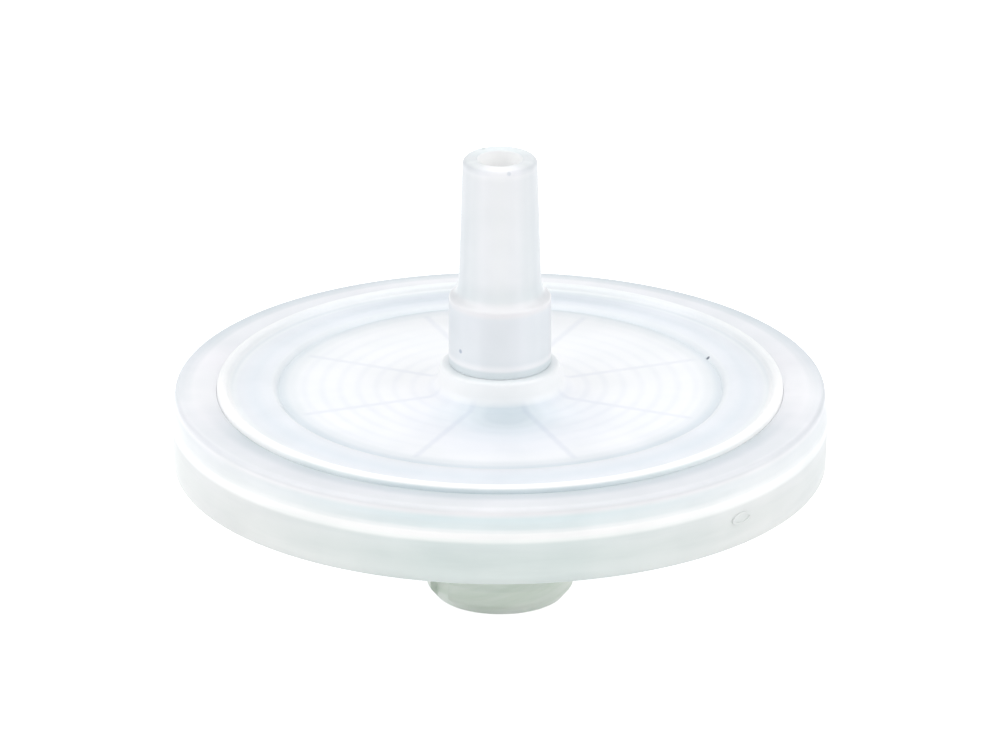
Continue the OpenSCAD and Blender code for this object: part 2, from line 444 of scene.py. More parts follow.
def make_inlet_moulding(bottom):
    """Inlet plate, support grid and the socketed hub in one moulding."""
    crest = (RIM_TOP + bottom - MEMBRANE_T) / 2
    floor = crest - RING_H
    hub_top = bottom - FIELD_H - BOSS_FILLET_R
    boss_low = bottom - BOSS_H
    section = [
        # bore and socket
        (INLET_BORE_R + BORE_FLARE, floor),
        (INLET_BORE_R, floor - BORE_FLARE),
        (INLET_BORE_R, SOCKET_DEPTH),
        (SOCKET_R - TAPER * SOCKET_DEPTH, SOCKET_DEPTH),
        (SOCKET_R - TAPER * BORE_EDGE_R, BORE_EDGE_R),
        *arc(SOCKET_R + BORE_EDGE_R, BORE_EDGE_R, BORE_EDGE_R, 180, 270, 3),
        # lugs, with every edge broken
        (LUG_R - LUG_CHAMFER_W - 0.08, 0),
        (LUG_R - LUG_CHAMFER_W + 0.02, 0.06),
        (LUG_R - 0.1, LUG_CHAMFER_H - 0.08),
        (LUG_R - 0.03, LUG_CHAMFER_H + 0.03),
        (LUG_R, LUG_CHAMFER_H + 0.14),
        (LUG_R, LUG_H - LUG_SLOPE_H),
        *arc(LUG_R - LUG_EDGE_R, LUG_H - LUG_SLOPE_H, LUG_EDGE_R, 15, 60, 3),
        # barrel, boss and the plate's face
        (BARREL_R + 0.08, LUG_H + 0.02),
        (BARREL_R, LUG_H + 0.2),
        (BARREL_R, boss_low - 0.4),
        (BARREL_R + 0.06, boss_low - 0.25),
        (BARREL_R + BOSS_EDGE, boss_low - BOSS_EDGE),
        (BOSS_R - BOSS_EDGE, boss_low - BOSS_EDGE),
        (BOSS_R - 0.05, boss_low - 0.14),
        (BOSS_R, boss_low),
        *arc(BOSS_R + BOSS_FILLET_R, hub_top, BOSS_FILLET_R, 180, 90, 6),
        *flipped(face_section(), bottom),
        # flange under the rim
        (PLATE_R, bottom + FLANGE_COVER + GAP),
        (FLANGE_R - FLANGE_EDGE_W, bottom + FLANGE_COVER + GAP),
        (FLANGE_R - GAP, bottom + FLANGE_COVER + FLANGE_EDGE_H),
        (FLANGE_R - GAP, crest - GAP / 2),
        # chamber with its rings
        (CHAMBER_R, crest - GAP / 2),
        (CHAMBER_R, floor + CHAMBER_EDGE),
        (CHAMBER_R - CHAMBER_EDGE, floor),
        *reversed(ring_section(floor, crest - GAP / 2)),
    ]
    piece = turned("inlet_moulding", section)
    cut(piece, channel_cutter(crest - CHANNEL_DEPTH, crest + OVERCUT))
    for side in (0, 180):
        cut(piece, lug_gap_cutter(LUG_GAP_TURN + side))
    smooth(piece)
    replace_nodes(piece, "inlet_housing", "inlet_housing", "inlet_hub")
    return piece


def lug_gap_cutter(turn):
    """The gap between two lugs: a block that reaches in to the barrel."""
    width = 2 * LUG_R * math.sin(math.radians(LUG_GAP / 2))
    bpy.ops.object.select_all(action="DESELECT")
    bpy.ops.mesh.primitive_cube_add(
        size=1, location=((BARREL_R + LUG_GAP_DEPTH / 2) * MM, 0, LUG_H / 2 * MM),
        scale=(LUG_GAP_DEPTH * MM, width * MM, (LUG_H + 2 * LUG_GAP_OVERCUT) * MM))
    cutter = start_piece("lug_gap_cutter")
    turn_selected(turn)
    bpy.ops.object.mode_set(mode="OBJECT")
    return cutter


def make_rim(bottom, top):
    """The ring moulded round both plates, with its parting step and gate mark."""
    inner = PLATE_R + GAP
    wall_r = RIM_R - RIM_DRAFT
    top_r = RIM_R - STEP_W - RIM_DRAFT / 2
    parting = bottom + PARTING_H
    section = [
        # under the plate, and the drafted wall up to the parting line
        (inner, bottom + FLANGE_COVER),
        (inner, bottom + INNER_EDGE),
        *arc(inner + INNER_EDGE, bottom + INNER_EDGE, INNER_EDGE, 180, 270, 4),
        *arc(wall_r - RIM_EDGE_R, bottom + RIM_EDGE_R, RIM_EDGE_R, 270, 360, 6),
        (RIM_R, parting),
        # step above it, the top, and the channel that grips both flanges
        (RIM_R - STEP_EDGE_W, parting + STEP_EDGE_H),
        (RIM_R - STEP_W + STEP_EDGE_W, parting + STEP_H - STEP_EDGE_H),
        (RIM_R - STEP_W, parting + STEP_H),
        *arc(top_r - RIM_EDGE_R, top - RIM_EDGE_R, RIM_EDGE_R, 0, 90, 6),
        *arc(inner + INNER_EDGE, top - INNER_EDGE, INNER_EDGE, 90, 180, 4),
        (inner, top - FLANGE_COVER),
        (FLANGE_R, top - FLANGE_COVER),
        (FLANGE_R, bottom + FLANGE_COVER),
    ]
    piece = turned("rim_moulding", section)
    cut(piece, gate_plug(bottom + GATE_H), "UNION")
    smooth(piece)
    replace_nodes(piece, "rim_ring", "rim_ring")
    return piece


def gate_plug(z):
    """The gate's witness: a short oval plug, a little proud of the wall, with a dished face."""
    bpy.ops.object.select_all(action="DESELECT")
    bpy.ops.mesh.primitive_cylinder_add(
        vertices=32, radius=GATE_W / 2 * MM, depth=2 * GATE_DEPTH * MM,
        location=((RIM_R - GATE_DEPTH + GATE_PROUD) * MM, 0, z * MM), rotation=(0, math.pi / 2, 0))
    plug = start_piece("gate_plug")
    bpy.ops.transform.resize(value=(1, 1, GATE_L / GATE_W), center_override=(0, 0, z * MM))
    bpy.ops.mesh.select_all(action="DESELECT")
    bpy.ops.object.mode_set(mode="OBJECT")
    for face in plug.data.polygons:
        face.select = face.normal.x > SQUARE
    bpy.ops.object.mode_set(mode="EDIT")
    bpy.ops.mesh.inset(thickness=GATE_LIP * MM)
    bpy.ops.mesh.extrude_region_move(TRANSFORM_OT_translate={"value": (-GATE_DISH * MM, 0, 0)})
    bpy.ops.mesh.select_all(action="SELECT")
    turn_selected(GATE_TURN)
    bpy.ops.object.mode_set(mode="OBJECT")
    return plug


def make_membrane(bottom, top):
    """The filter membrane: a thin disc with a rounded cut edge, held between the grids."""
    middle = (bottom + top) / 2
    thick = MEMBRANE_T - 2 * GAP
    bpy.ops.object.select_all(action="DESELECT")
    bpy.ops.mesh.primitive_cylinder_add(
        vertices=TURN_STEPS, radius=(MEMBRANE_R - GAP) * MM, depth=thick * MM,
        location=(0, 0, middle * MM))
    piece = start_piece("filter_membrane")
    bpy.ops.object.mode_set(mode="OBJECT")
    for face in piece.data.polygons:
        face.select = abs(face.normal.z) > SQUARE
    bpy.ops.object.mode_set(mode="EDIT")
    bpy.ops.mesh.inset(thickness=MEMBRANE_EDGE * MM)
    bpy.ops.transform.resize(value=(1, 1, MEMBRANE_CROWN), center_override=(0, 0, middle * MM))
    close_piece(piece)
    smooth(piece)
    replace_nodes(piece, "membrane", "membrane")
    return piece


# ---------------------------------------------------------------- materials

def add_node(tree, kind, settings=None, links=None, stops=()):
    """Adds a node with its settings, its links and, in a ramp, its (place, colour) stops.

    A setting is an attribute of the node or a socket's value; sockets go by name or number."""
    node = tree.nodes.new(kind)
    for name, value in (settings or {}).items():
        if isinstance(name, str) and hasattr(node, name):
            setattr(node, name, value)
        else:
            node.inputs[name].default_value = value
    for name, source in (links or {}).items():
        tree.links.new(source, node.inputs[name])
    if stops:
        points = node.color_ramp.elements
        node.color_ramp.interpolation = "EASE"
        points[0].position, points[1].position = stops[0][0], stops[-1][0]
        points[0].color, points[1].color = linear_from_hex(stops[0][1]), linear_from_hex(stops[-1][1])
        for place, code in stops[1:-1]:
            points.new(place).color = linear_from_hex(code)
    return node


def new_material(name):
    """An empty node material and its output node."""
    material = bpy.data.materials.new(name)
    material.use_nodes = True
    tree = material.node_tree
    tree.nodes.clear()
    output = tree.nodes.new("ShaderNodeOutputMaterial")
    return material, tree, output


def radius_at(tree, place):
    """Distance from the flow axis."""
    flat = add_node(tree, "ShaderNodeVectorMath", {"operation": "MULTIPLY", 1: (1, 1, 0)}, {0: place})
    radius = add_node(tree, "ShaderNodeVectorMath", {"operation": "LENGTH"}, {0: flat.outputs[0]})
    return radius.outputs["Value"]


def share_towards(tree, place, radius, direction):
    """How far a place lies towards a direction, seen from the axis: 1 straight that way, 0 square to it."""
    along = add_node(tree, "ShaderNodeVectorMath", {"operation": "DOT_PRODUCT", 1: direction}, {0: place})
    return add_node(tree, "ShaderNodeMath", {"operation": "DIVIDE"},
                    {0: along.outputs["Value"], 1: radius}).outputs[0]


def tone_along(tree, length, steps, start=0.0):
    """A colour that follows a length, from (millimetres past the start, colour) steps."""
    low, high = steps[0][0], steps[-1][0]
    share = add_node(tree, "ShaderNodeMapRange",
                     {"From Min": (start + low) * MM, "From Max": (start + high) * MM}, {"Value": length})
    stops = [((mm - low) / (high - low), code) for mm, code in steps]
    tone = add_node(tree, "ShaderNodeValToRGB", links={"Fac": share.outputs[0]}, stops=stops)
    return tone.outputs["Color"]


def spotted(tree, place, tone, centre, steps):
    """A tone with a round spot over it, from (millimetres off its centre, colour) steps that end in white."""
    away = add_node(tree, "ShaderNodeVectorMath",
                    {"operation": "DISTANCE", 1: [mm * MM for mm in centre]}, {0: place})
    spot = tone_along(tree, away.outputs["Value"], steps)
    return add_node(tree, "ShaderNodeMix", MULTIPLY_ALL, {6: tone, 7: spot}).outputs[2]


def flow_streaks(tree, place, size, climb, stops):
    """Soft streaks that run round a moulding: melt flow frozen in the wall.

    Their size is in mm along the axis, and they climb from side to side."""
    axes = add_node(tree, "ShaderNodeSeparateXYZ", links={0: place})
    slant = add_node(tree, "ShaderNodeMath", {"operation": "MULTIPLY_ADD", 1: climb},
                     {0: axes.outputs["X"], 2: axes.outputs["Z"]})
    drawn_out = add_node(tree, "ShaderNodeVectorMath",
                         {"operation": "MULTIPLY", 1: (STREAK_SHORTENING, STREAK_SHORTENING, 0)}, {0: place})
    along = add_node(tree, "ShaderNodeCombineXYZ", links={2: slant.outputs[0]})
    both = add_node(tree, "ShaderNodeVectorMath", {"operation": "ADD"},
                    {0: drawn_out.outputs[0], 1: along.outputs[0]})
    noise = add_node(tree, "ShaderNodeTexNoise", {"Scale": 1 / (size * MM), "Detail": 3.0},
                     {"Vector": both.outputs[0]})
    tone = add_node(tree, "ShaderNodeValToRGB", links={"Fac": noise.outputs["Fac"]}, stops=stops)
    return tone.outputs["Color"]


def ring_wave(tree, radius):
    """A wave along the radius: 1 over each support ring and -1 midway between two."""
    turn = add_node(tree, "ShaderNodeMath",
                    {"operation": "MULTIPLY_ADD", 1: 2 * math.pi / (RING_PITCH * MM),
                     2: -2 * math.pi * FIRST_RING_R / RING_PITCH}, {0: radius})
    return add_node(tree, "ShaderNodeMath", {"operation": "COSINE"}, {0: turn.outputs[0]}).outputs[0]


def painted_grid_shade(tree, place, radius, across):
    """Painted shade of the support grid seen through a plate: thin radial lines, and rings that fade in front
    and behind, where the side light does not cross them.

    Across is how far a place lies to either side."""
    rings = add_node(tree, "ShaderNodeMapRange", {"From Min": -1.0, "From Max": 0.6},
                     {"Value": ring_wave(tree, radius)})
    axes = add_node(tree, "ShaderNodeSeparateXYZ", links={0: place})
    angle = add_node(tree, "ShaderNodeMath", {"operation": "ARCTAN2"},
                     {0: axes.outputs["Y"], 1: axes.outputs["X"]})
    spoke = add_node(tree, "ShaderNodeMath",
                     {"operation": "MULTIPLY_ADD", 1: CHANNEL_COUNT / 2,
                      2: -math.radians(CHANNEL_TURN) * CHANNEL_COUNT / 2}, {0: angle.outputs[0]})
    swing = add_node(tree, "ShaderNodeMath", {"operation": "SINE"}, {0: spoke.outputs[0]})
    aside = add_node(tree, "ShaderNodeMath", {"operation": "ABSOLUTE"}, {0: swing.outputs[0]})
    offset = add_node(tree, "ShaderNodeMath", {"operation": "MULTIPLY"}, {0: aside.outputs[0], 1: radius})
    lines = add_node(tree, "ShaderNodeMapRange",
                     {"From Min": 0.03 * MM * CHANNEL_COUNT / 2, "From Max": 0.28 * MM * CHANNEL_COUNT / 2},
                     {"Value": offset.outputs[0]})
    faint = add_node(tree, "ShaderNodeMapRange", {"To Min": 0.5}, {"Value": rings.outputs[0]})
    fade = add_node(tree, "ShaderNodeMapRange", {"From Min": 0.3, "From Max": 0.9, "To Min": 0.15},
                    {"Value": across})
    faded = add_node(tree, "ShaderNodeMath", {"operation": "POWER"},
                     {0: faint.outputs[0], 1: fade.outputs[0]})
    both = add_node(tree, "ShaderNodeMath", {"operation": "MULTIPLY"},
                    {0: faded.outputs[0], 1: lines.outputs[0]})
    inside = add_node(tree, "ShaderNodeMapRange",
                      {"From Min": (CHAMBER_R - 0.4) * MM, "From Max": (CHAMBER_R - 0.9) * MM},
                      {"Value": radius})
    shade = add_node(tree, "ShaderNodeValToRGB", links={"Fac": both.outputs[0]},
                     stops=[(0.0, PAINTED_GRID_LINE), (1.0, "FFFFFF")])
    return add_node(tree, "ShaderNodeMix", {**BLEND, 6: (1, 1, 1, 1)},
                    {0: inside.outputs[0], 7: shade.outputs["Color"]}).outputs[2]


def outlet_tone(tree, place):
    """A blue-white plate with the grid, a line and two soft rings in it, all painted shade, and a greyer
    spigot with bands of painted shade and highlight.

    Painted shade darkens the plate a little in front and behind, and a painted highlight makes a bright
    arc in front on the tip."""
    radius = radius_at(tree, place)
    height = add_node(tree, "ShaderNodeSeparateXYZ", links={0: place}).outputs["Z"]
    ahead = share_towards(tree, place, radius, (0, -1, 0))
    behind = share_towards(tree, place, radius, (0, 1, 0))
    across = add_node(tree, "ShaderNodeMath", {"operation": "ABSOLUTE"},
                      {0: share_towards(tree, place, radius, (1, 0, 0))}).outputs[0]

    # Painted shade darkening towards the groove round the field and in the valley, and a painted highlight on
    # the lip
    plate = tone_along(tree, radius, [
        (3.2, "F9FAFD"), (10.5, "F9FBFE"), (11.2, "EEF2F6"), (11.7, "DEE6EC"), (12.05, "ECF0F4"),
        (12.4, "EAEEF4"), (13.2, "E1E7EE"), (13.9, "E6EAF0"), (14.25, "ECF0F3"), (14.5, "FFFFFF"),
        (15.3, "FFFFFF"),
    ])
    # Painted shade: a dark teal patch on the plate in front of the spigot's foot
    plate = spotted(tree, place, plate, (0.35, -4.2, RIM_TOP), [
        (0.0, "CFDADF"), (1.0, "D2DCE1"), (1.6, "DEE6EA"), (2.3, "E9EFF3"), (3.4, "F3F6F9"), (4.6, "F9FAFC"),
        (6.5, "FFFFFF"),
    ])
    # Painted shade of the support grid seen through the plate
    seen = painted_grid_shade(tree, place, radius, across)
    grid = add_node(tree, "ShaderNodeMix", MULTIPLY_ALL, {6: plate, 7: seen})

    # Painted shade: the plate past the foot a little darker in front, and its border band darker behind
    past_foot = add_node(tree, "ShaderNodeMapRange", {"From Min": 4.6 * MM, "From Max": 6.6 * MM},
                         {"Value": radius})
    front_painted_shade = add_node(tree, "ShaderNodeValToRGB", links={"Fac": ahead}, stops=[
        (0.1, "FFFFFF"), (0.5, "FBFBFC"), (0.75, "F8F8F9"), (0.9, "F5F5F6"), (1.0, "F6F6F7"),
    ])
    field = add_node(tree, "ShaderNodeMix", MULTIPLY,
                     {0: past_foot.outputs[0], 6: grid.outputs[2], 7: front_painted_shade.outputs["Color"]})
    back_painted_shade = add_node(tree, "ShaderNodeValToRGB", links={"Fac": behind}, stops=[
        (0.5, "FFFFFF"), (0.75, "FBFCFD"), (1.0, "F0F3F5"),
    ])
    rings = add_node(tree, "ShaderNodeMix", MULTIPLY_ALL, {6: grid.outputs[2], 7: back_painted_shade.outputs["Color"]})
    border = add_node(tree, "ShaderNodeMapRange", {"From Min": 12 * MM, "From Max": 13 * MM},
                      {"Value": radius})
    tone = add_node(tree, "ShaderNodeMix", BLEND,
                    {0: border.outputs[0], 6: field.outputs[2], 7: rings.outputs[2]})
    # Painted shade over the lip at the sides and behind, which tones down its highlight there
    lip = tone_along(tree, radius, [
        (14.1, "FFFFFF"), (14.4, "EEF1F4"), (14.65, "F2F4F6"), (15.1, "F4F6F7"),
    ])
    aside = add_node(tree, "ShaderNodeMapRange", {"From Min": 0.35, "From Max": 0.7}, {"Value": across})
    past_side = add_node(tree, "ShaderNodeMapRange", {"From Min": -0.15, "From Max": 0.2}, {"Value": behind})
    side_painted_shade = add_node(tree, "ShaderNodeMath", {"operation": "MULTIPLY"},
                    {0: aside.outputs[0], 1: past_side.outputs[0]})
    tone = add_node(tree, "ShaderNodeMix", MULTIPLY, {0: side_painted_shade.outputs[0], 6: tone.outputs[2], 7: lip})
    # Painted shade: a dark line at the foot of the lip, in front only
    lip_foot = add_node(tree, "ShaderNodeMapRange",
                        {"From Min": (PLATE_R - 0.06) * MM, "From Max": (PLATE_R - 0.01) * MM},
                        {"Value": radius})
    line = add_node(tree, "ShaderNodeValToRGB", links={"Fac": ahead}, stops=[
        (0.5, "FFFFFF"), (0.8, "E8F0F2"), (1.0, "D8E3E8"),
    ])
    tone = add_node(tree, "ShaderNodeMix", MULTIPLY,
                    {0: lip_foot.outputs[0], 6: tone.outputs[2], 7: line.outputs["Color"]})

    # Painted shade and highlights up the spigot: a dark band where the collar tucks in over the foot, a
    # highlight above it, a darker shoulder over the collar, and a white top on the tip
    spigot_painted_bands = tone_along(tree, height, [
        (1.3, "FCFDFE"), (1.5, "F4F6F8"), (1.56, "EEF2F4"), (1.65, "E0E8EB"), (1.9, "E4EBEE"),
        (2.1, "FCFCFE"), (2.45, "EFF2F5"), (4.9, "EAEDF1"), (5.25, "F0EFF1"), (5.5, "EEEEF0"),
        (5.9, "E8ECEE"), (7.0, "F0F2F4"), (12.5, "F0F1F3"), (12.95, "F6F6F8"), (13.1, "F3F3F5"),
        (13.18, "FFFFFF"), (13.2, "FFFFFF"),
    ], RIM_TOP)
    # Painted shade: the spigot darker at its left and right sides, where the side softboxes strike it
    slender = add_node(tree, "ShaderNodeMapRange", {"From Min": 3.2 * MM, "From Max": 2.2 * MM},
                       {"Value": radius})
    flank_painted_shade = add_node(tree, "ShaderNodeValToRGB", links={"Fac": across}, stops=[
        (0.0, "FFFFFF"), (0.4, "FDFDFE"), (0.7, "F2F4F5"), (0.9, "E8EBED"), (1.0, "DEE2E5"),
    ])
    spigot = add_node(tree, "ShaderNodeMix", MULTIPLY,
                      {0: slender.outputs[0], 6: spigot_painted_bands, 7: flank_painted_shade.outputs["Color"]})
    # Painted highlight in a narrow arc at the front of the tip, with painted shade beside it and on its far
    # edge
    tip = add_node(tree, "ShaderNodeMapRange",
                   {"From Min": (TIP_Z - 0.4) * MM, "From Max": (TIP_Z - 0.15) * MM}, {"Value": height})
    front_to_back = add_node(tree, "ShaderNodeMapRange", {"From Min": -1.0}, {"Value": behind})
    tip_painted_highlight = add_node(tree, "ShaderNodeValToRGB", links={"Fac": front_to_back.outputs[0]}, stops=[
        (0.0, "FDFDFE"), (0.05, "F5F6F8"), (0.17, "EFF1F2"), (0.35, "FBFCFC"), (0.5, "FFFFFF"),
        (0.75, "F8FBFC"), (1.0, "EAF1F3"),
    ])
    spigot = add_node(tree, "ShaderNodeMix", MULTIPLY,
                      {0: tip.outputs[0], 6: spigot.outputs[2], 7: tip_painted_highlight.outputs["Color"]})
    near_axis = add_node(tree, "ShaderNodeMapRange", {"From Min": 3.6 * MM, "From Max": 3.3 * MM},
                         {"Value": radius})
    tone = add_node(tree, "ShaderNodeMix", BLEND,
                    {0: near_axis.outputs[0], 6: tone.outputs[2], 7: spigot.outputs[2]})
    bore = add_node(tree, "ShaderNodeMapRange", {"From Min": 1.24 * MM, "From Max": 1.19 * MM},
                    {"Value": radius})
    clean = add_node(tree, "ShaderNodeMix", {**BLEND, 7: (1, 1, 1, 1)},
                     {0: bore.outputs[0], 6: tone.outputs[2]})
    tone = clean.outputs[2]
    for x, y, z, code in SPECKS:
        speck = [(SPECK_CORE_R, code), (SPECK_EDGE_R, "FFFFFF")]
        tone = spotted(tree, place, tone, (x, y, RIM_TOP + z), speck)
    return tone


def inlet_tone(tree, place):
    """The plate is as the outlet's, with painted shade. The thick hub turns grey-green, partly its own tint
    and partly painted shade under the disc, with flow lines that climb round it.
    """
    radius = radius_at(tree, place)
    height = add_node(tree, "ShaderNodeSeparateXYZ", links={0: place}).outputs["Z"]
    across = add_node(tree, "ShaderNodeMath", {"operation": "ABSOLUTE"},
                      {0: share_towards(tree, place, radius, (1, 0, 0))}).outputs[0]
    # Painted shade in the groove round the field and in the valley, and lighter over the lip
    plate = tone_along(tree, radius, [
        (4.4, "F4F8FC"), (10.6, "F6F9FD"), (11.75, "DCE7F2"), (12.1, "EDF3F9"), (13.1, "E3EBF3"),
        (14.4, "FBFCFE"), (15.3, "E8EEF2"),
    ])
    # Painted shade of the support grid seen through the plate
    seen = painted_grid_shade(tree, place, radius, across)
    grid = add_node(tree, "ShaderNodeMix", MULTIPLY_ALL, {6: plate, 7: seen})
    # The hub's grey-green is partly its own tint in thick plastic and partly painted shade under the disc;
    # its bottom edge is painted lighter
    body = tone_along(tree, height, [
        (0.0, "FAFFF9"), (0.3, "F8FFF6"), (0.7, "F0F8ED"), (5.4, "EDF7E9"), (6.8, "EFF5F1"),
        (7.3, "EFF4F5"),
    ])
    streaks = flow_streaks(tree, place, HUB_STREAK, HUB_STREAK_CLIMB, [(0.35, "F2F6F2"), (0.65, "FFFFFF")])
    hub = add_node(tree, "ShaderNodeMix", MULTIPLY_ALL, {6: body, 7: streaks})
    near_axis = add_node(tree, "ShaderNodeMapRange", {"From Min": 4.8 * MM, "From Max": 4.3 * MM},
                         {"Value": radius})
    return add_node(tree, "ShaderNodeMix", BLEND,
                    {0: near_axis.outputs[0], 6: grid.outputs[2], 7: hub.outputs[2]}).outputs[2]


def rim_tone(tree, place):
    """A grey wall with flow streaks round it, a white line of painted highlight where the mould parted, and a
    violet-white top.

    Painted shade makes the wall greener and darker in front, darkens the top next to the plate in front,
    and outlines the top's far edge and the wall at left and right."""
    radius = radius_at(tree, place)
    height = add_node(tree, "ShaderNodeSeparateXYZ", links={0: place}).outputs["Z"]
    ahead = share_towards(tree, place, radius, (0, -1, 0))
    right = share_towards(tree, place, radius, (1, 0, 0))
    across = add_node(tree, "ShaderNodeMath", {"operation": "ABSOLUTE"}, {0: right}).outputs[0]

    # Painted shade and highlight up the wall: darker and greener low down and in front, a white painted
    # highlight at the parting step, a band of painted shade above it, and a lighter top
    square = tone_along(tree, height, [
        (0.0, "DAE2E0"), (0.5, "DEE7E5"), (1.4, "D9E3E1"), (2.3, "DEE7E6"), (2.55, "FAFDFC"),
        (2.7, "FFFFFF"), (2.9, "FFFFFF"), (3.02, "F4F7F8"), (3.25, "E4EEF0"), (3.7, "E2EEF1"),
        (4.05, "F4F4F7"), (4.3, "F0F0F4"),
    ], RIM_BOTTOM)
    flank = tone_along(tree, height, [
        (0.0, "E2E4E3"), (0.5, "E6E8E7"), (1.4, "E2E5E4"), (2.3, "E6E8E8"), (2.55, "FCFDFD"),
        (2.7, "FFFFFF"), (2.9, "FFFFFF"), (3.02, "F6F8F9"), (3.25, "EEF1F3"), (3.7, "ECEFF2"),
        (4.05, "F5F5F8"), (4.3, "F4F4F8"),
    ], RIM_BOTTOM)
    turned_away = add_node(tree, "ShaderNodeMapRange", {"From Min": 0.2, "From Max": 0.8},
                           {"Value": across})
    wall = add_node(tree, "ShaderNodeMix", BLEND, {0: turned_away.outputs[0], 6: square, 7: flank})
    # Painted shade outlining the wall at its far left and right, darker on the right
    skin = add_node(tree, "ShaderNodeMapRange", {"From Min": 17.1 * MM, "From Max": 17.3 * MM},
                    {"Value": radius})
    sweep = add_node(tree, "ShaderNodeMapRange", {"From Min": -1.0}, {"Value": right})
    side_painted_shade = add_node(tree, "ShaderNodeValToRGB", links={"Fac": sweep.outputs[0]}, stops=[
        (0.0, "F8F9FA"), (0.05, "FDFDFE"), (0.1, "FFFFFF"), (0.9, "FFFFFF"), (0.95, "F7F8F9"),
        (0.985, "EEF0F2"), (1.0, "E4E7E9"),
    ])
    wall = add_node(tree, "ShaderNodeMix", MULTIPLY,
                    {0: skin.outputs[0], 6: wall.outputs[2], 7: side_painted_shade.outputs["Color"]})

    # Painted shadow of the lip on the rim's top, in front
    lip_painted_shadow = tone_along(tree, radius, [
        (15.1, "E2EAEA"), (15.6, "E7ECEE"), (16.3, "F9FAFB"), (16.9, "FAFBFB"), (17.15, "FFFFFF"),
        (17.5, "FFFFFF"),
    ])
    front_painted_shade = add_node(tree, "ShaderNodeMapRange", {"From Min": 0.1, "From Max": 0.5}, {"Value": ahead})
    tone = add_node(tree, "ShaderNodeMix", MULTIPLY,
                    {0: front_painted_shade.outputs[0], 6: wall.outputs[2], 7: lip_painted_shadow})
    upper = add_node(tree, "ShaderNodeMapRange",
                     {"From Min": (RIM_TOP - 0.35) * MM, "From Max": (RIM_TOP - 0.2) * MM}, {"Value": height})
    # Painted shade on the rim's top: darker between front and sides, lighter again at the far left and right
    top_painted_shade = add_node(tree, "ShaderNodeValToRGB", links={"Fac": across}, stops=[
        (0.0, "FFFFFF"), (0.25, "FAFBFB"), (0.5, "F4F5F6"), (0.75, "F0F2F3"), (0.9, "F2F4F5"),
        (0.97, "F9F9FA"), (1.0, "FFFFFF"),
    ])
    tone = add_node(tree, "ShaderNodeMix", MULTIPLY,
                    {0: upper.outputs[0], 6: tone.outputs[2], 7: top_painted_shade.outputs["Color"]})
    # Painted shade outlining the top's outer edge on the far side
    edge = tone_along(tree, radius, [
        (15.1, "FFFFFF"), (16.3, "FFFFFF"), (16.65, "EEF2F3"), (16.95, "E3EAEC"), (17.5, "DEE6E8"),
    ])
    back_painted_shade = add_node(tree, "ShaderNodeMapRange", {"From Min": 0.4, "From Max": -0.6}, {"Value": ahead})
    outlined = add_node(tree, "ShaderNodeMath", {"operation": "MULTIPLY"},
                        {0: back_painted_shade.outputs[0], 1: upper.outputs[0]})
    tone = add_node(tree, "ShaderNodeMix", MULTIPLY, {0: outlined.outputs[0], 6: tone.outputs[2], 7: edge})

    streaks = flow_streaks(tree, place, RIM_STREAK, 0.0, [(0.3, "F9FAFA"), (0.6, "FFFFFF")])
    return add_node(tree, "ShaderNodeMix", MULTIPLY_ALL, {6: tone.outputs[2], 7: streaks}).outputs[2]


def moulded_polypropylene(name, tone, clearness, roughness):
    """Natural polypropylene from a polished mould: milky where light goes in, clear where it comes out.

    The eye gets a soft white body with a faint depth, a cloudy haze, and a sheen that fine grain keeps from
    turning into a mirror."""
    material, tree, output = new_material(name)
    place = add_node(tree, "ShaderNodeTexCoord").outputs["Object"]
    haze = add_node(tree, "ShaderNodeTexNoise", {"Scale": 1 / (HAZE * MM), "Detail": 3.0}, {"Vector": place})
    cloud = add_node(tree, "ShaderNodeValToRGB", links={"Fac": haze.outputs["Fac"]},
                     stops=[(0.3, "FAFBFB"), (0.7, "FFFFFF")])
    colour = add_node(tree, "ShaderNodeMix", MULTIPLY_ALL, {6: tone(tree, place), 7: cloud.outputs["Color"]})
    grain = add_node(tree, "ShaderNodeTexNoise", {"Scale": 1 / (GRAIN * MM), "Detail": 2.0},
                     {"Vector": place})
    bump = add_node(tree, "ShaderNodeBump", {"Strength": 0.05, "Distance": GRAIN_DEPTH * MM},
                    {"Height": grain.outputs["Fac"]})
    milky = add_node(tree, "ShaderNodeBsdfPrincipled",
                     {"Roughness": roughness, "IOR": PP_IOR, "Transmission Weight": clearness},
                     {"Base Color": colour.outputs[2], "Normal": bump.outputs["Normal"]})
    inner = add_node(tree, "ShaderNodeBsdfGlass", {"Color": (1, 1, 1, 1), "Roughness": 0.2, "IOR": PP_IOR})
    side = add_node(tree, "ShaderNodeNewGeometry")
    surface = add_node(tree, "ShaderNodeMixShader",
                       links={0: side.outputs["Backfacing"], 1: milky.outputs[0], 2: inner.outputs[0]})
    depth = add_node(tree, "ShaderNodeVolumeAbsorption",
                     {"Color": linear_from_hex(DEPTH_TINT), "Density": PP_ABSORPTION})
    tree.links.new(surface.outputs[0], output.inputs["Surface"])
    tree.links.new(depth.outputs[0], output.inputs["Volume"])
    return material


